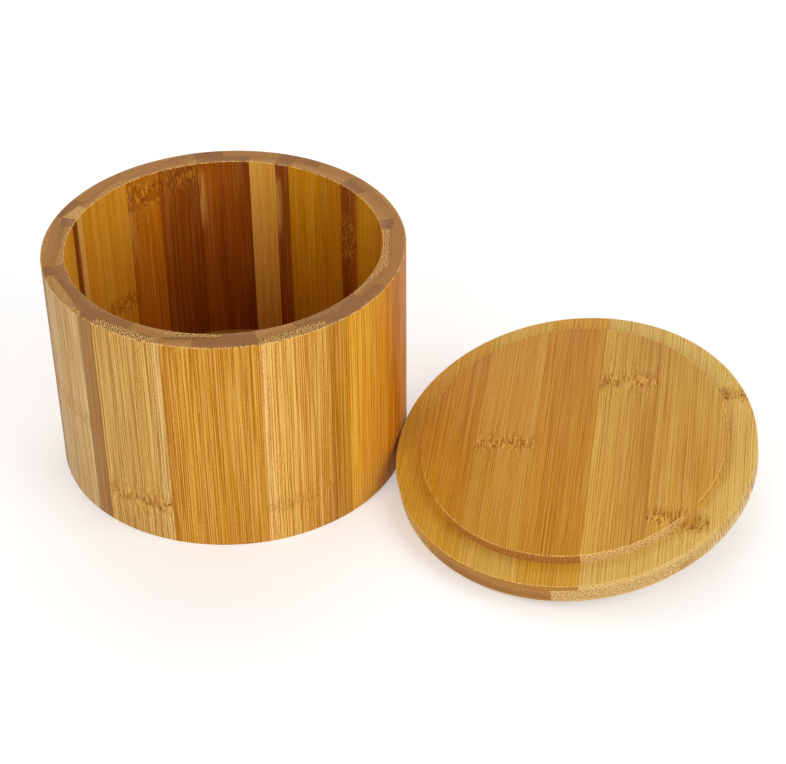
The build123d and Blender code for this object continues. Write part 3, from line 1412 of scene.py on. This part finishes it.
@dataclass
class Studio:
    """A pale floor under a white surround, soft lamps, and the camera."""

    floor_size: float = 6.0
    floor_tone: float = 0.86  # how much light it throws back
    floor_glow: float = 0.3  # added to that where it is seen
    surround_light: float = 0.45  # what it gives. Where it is seen it is plain white
    camera_place: Point = (0.066957, -0.562299, 0.442635)
    heading: float = radians(1.0)  # left of +Y
    pitch: float = radians(36.7119)  # below the level
    roll: float = radians(0.3906)  # clockwise
    lens: float = 89.825  # millimetres, as is the sensor's width
    sensor: float = 36.0
    nearest: float = 0.01
    lamps: tuple[Lamp, ...] = (
        Lamp("key lamp", (-0.6, -1.1, 0.45), 0.9, 7.4),
        Lamp("fill lamp", (1.0, -0.55, 0.65), 0.9, 6.0),
        Lamp("top lamp", (0.0, 0.9, 0.9), 1.2, 6.0),
    )

    def build(self) -> None:
        """Set up the floor, the surround, the lamps and the camera."""
        self._floor()
        self._surround()
        for lamp in self.lamps:
            lamp.hang()
        self._camera()
        bpy.context.scene.view_settings.view_transform = "Standard"

    def _camera(self) -> None:
        """Stand the camera in its place, and look through it."""
        data = bpy.data.cameras.new("camera")
        data.sensor_fit = "HORIZONTAL"
        data.sensor_width = self.sensor
        data.lens = self.lens
        data.clip_start = self.nearest
        camera = bpy.data.objects.new("camera", data)
        turn = Matrix.Rotation(self.heading, 4, "Z") @ Matrix.Rotation(pi / 2 - self.pitch, 4, "X")
        turn @= Matrix.Rotation(-self.roll, 4, "Z")
        camera.matrix_world = Matrix.Translation(self.camera_place) @ turn
        bpy.context.scene.collection.objects.link(camera)
        bpy.context.scene.camera = camera

    def _floor(self) -> None:
        """Lay the floor, a wide pale sheet that takes the object's shadow."""
        ground = primitive(bpy.ops.mesh.primitive_plane_add, size=self.floor_size)
        ground.name = "studio_floor"
        material = bpy.data.materials.new("studio floor")
        sheet = Sheet.blank(material)
        glow = self._seen(sheet) * self.floor_glow
        matt = sheet.add("ShaderNodeBsdfDiffuse", {"Color": (self.floor_tone,) * 3})
        glow = sheet.add("ShaderNodeEmission", {"Color": (1, 1, 1), "Strength": glow})
        both = sheet.add("ShaderNodeAddShader", {0: matt, 1: glow})
        sheet.add("ShaderNodeOutputMaterial", {"Surface": both})
        ground.data.materials.append(material)

    def _surround(self) -> None:
        """Light the world: soft white, and plain white where it is seen."""
        world = bpy.data.worlds.new("studio")
        bpy.context.scene.world = world
        sheet = Sheet.blank(world)
        strength = self._seen(sheet) * (1 - self.surround_light) + self.surround_light
        light = sheet.add("ShaderNodeBackground", {"Color": (1, 1, 1), "Strength": strength})
        sheet.add("ShaderNodeOutputWorld", {"Surface": light})

    @staticmethod
    def _seen(sheet: Sheet) -> Wire:
        """Tell light that is seen from light that only lights other things.

        Args:
            sheet: the sheet that asks.

        Returns:
            1 where the surface is seen, straight or in a gloss or through glass, and 0 elsewhere.
        """
        path = sheet.add("ShaderNodeLightPath")
        seen = sheet.math("MAXIMUM", path["Is Camera Ray"], path["Is Glossy Ray"])
        return sheet.math("MAXIMUM", seen, path["Is Transmission Ray"])


def main() -> None:
    """Build the salt box and the studio round it."""
    logging.basicConfig(level=logging.INFO, format="%(name)s: %(message)s", stream=sys.stdout)
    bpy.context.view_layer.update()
    log.info("staves: %d strips", StaveRing().build())
    log.info("floor: %d strips", Floor().build())
    log.info("lid: %d strips and the knob", Lid().build())
    Studio().build()


if __name__ == "__main__":
    main()
